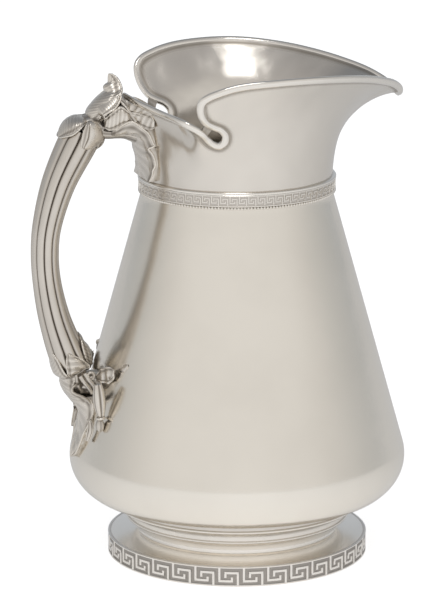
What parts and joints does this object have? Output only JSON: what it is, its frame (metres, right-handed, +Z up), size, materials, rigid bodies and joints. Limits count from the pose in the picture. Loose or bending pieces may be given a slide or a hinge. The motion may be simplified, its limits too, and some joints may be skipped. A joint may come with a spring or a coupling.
{
  "type": "pitcher",
  "caption": "Silver water pitcher: cone body with round belly on a stepped foot, flared neck with beak spout, key-pattern bands and a reeded handle with leaf mounts",
  "frame": {"origin": "on the pitcher's axis, in the plane it stands on", "axes": "+Z up, +X from the axis towards the spout, -X towards the handle, +Y to the left of someone looking from the handle to the spout"},
  "size_m": [0.1759, 0.155, 0.2306],
  "materials": {
    "silver_sheet": "polished silver sheet, lightly planished",
    "silver_wire": "polished drawn silver wire",
    "silver_band": "rolled silver strip, darkened in the recesses",
    "silver_cast": "cast and chased silver, darkened in the recesses"
  },
  "bodies": {
    "root": {"body_leaf_left": "silver_cast", "body_leaf_right": "silver_cast", "body_shell": "silver_sheet", "collar_bead_wire": "silver_wire", "collar_fret_band": "silver_band", "collar_top_wire": "silver_wire", "drop_bud_left": "silver_cast", "drop_bud_right": "silver_cast", "drop_calyx_left": "silver_cast", "drop_calyx_right": "silver_cast", "drop_ring_left": "silver_cast", "drop_ring_right": "silver_cast", "foot_fret_band": "silver_band", "foot_lower_wire": "silver_wire", "foot_seat_ring": "silver_wire", "foot_shell": "silver_sheet", "foot_upper_wire": "silver_wire", "handle_grip": "silver_cast", "lower_curl_left": "silver_cast", "lower_curl_right": "silver_cast", "lower_knot": "silver_cast", "lower_scroll_left": "silver_cast", "lower_scroll_right": "silver_cast", "lower_seat": "silver_cast", "lower_sepal_inner": "silver_cast", "lower_sepal_left": "silver_cast", "lower_sepal_outer": "silver_cast", "lower_sepal_right": "silver_cast", "neck_leaf": "silver_cast", "neck_shell": "silver_sheet", "rim_scroll_left": "silver_cast", "rim_scroll_right": "silver_cast", "rim_seat": "silver_cast", "rim_wire_left": "silver_wire", "rim_wire_right": "silver_wire", "tail_leaf": "silver_cast", "tail_leaflet_left": "silver_cast", "tail_leaflet_right": "silver_cast", "thumb_cup_left": "silver_cast", "thumb_cup_right": "silver_cast", "thumb_leaf": "silver_cast", "upper_branch": "silver_cast", "upper_knot": "silver_cast", "upper_knuckle_left": "silver_cast", "upper_knuckle_right": "silver_cast", "upper_scroll_left": "silver_cast", "upper_scroll_right": "silver_cast", "upper_sepal_inner": "silver_cast", "upper_sepal_left": "silver_cast", "upper_sepal_outer": "silver_cast", "upper_sepal_right": "silver_cast"}
  },
  "joints": []
}
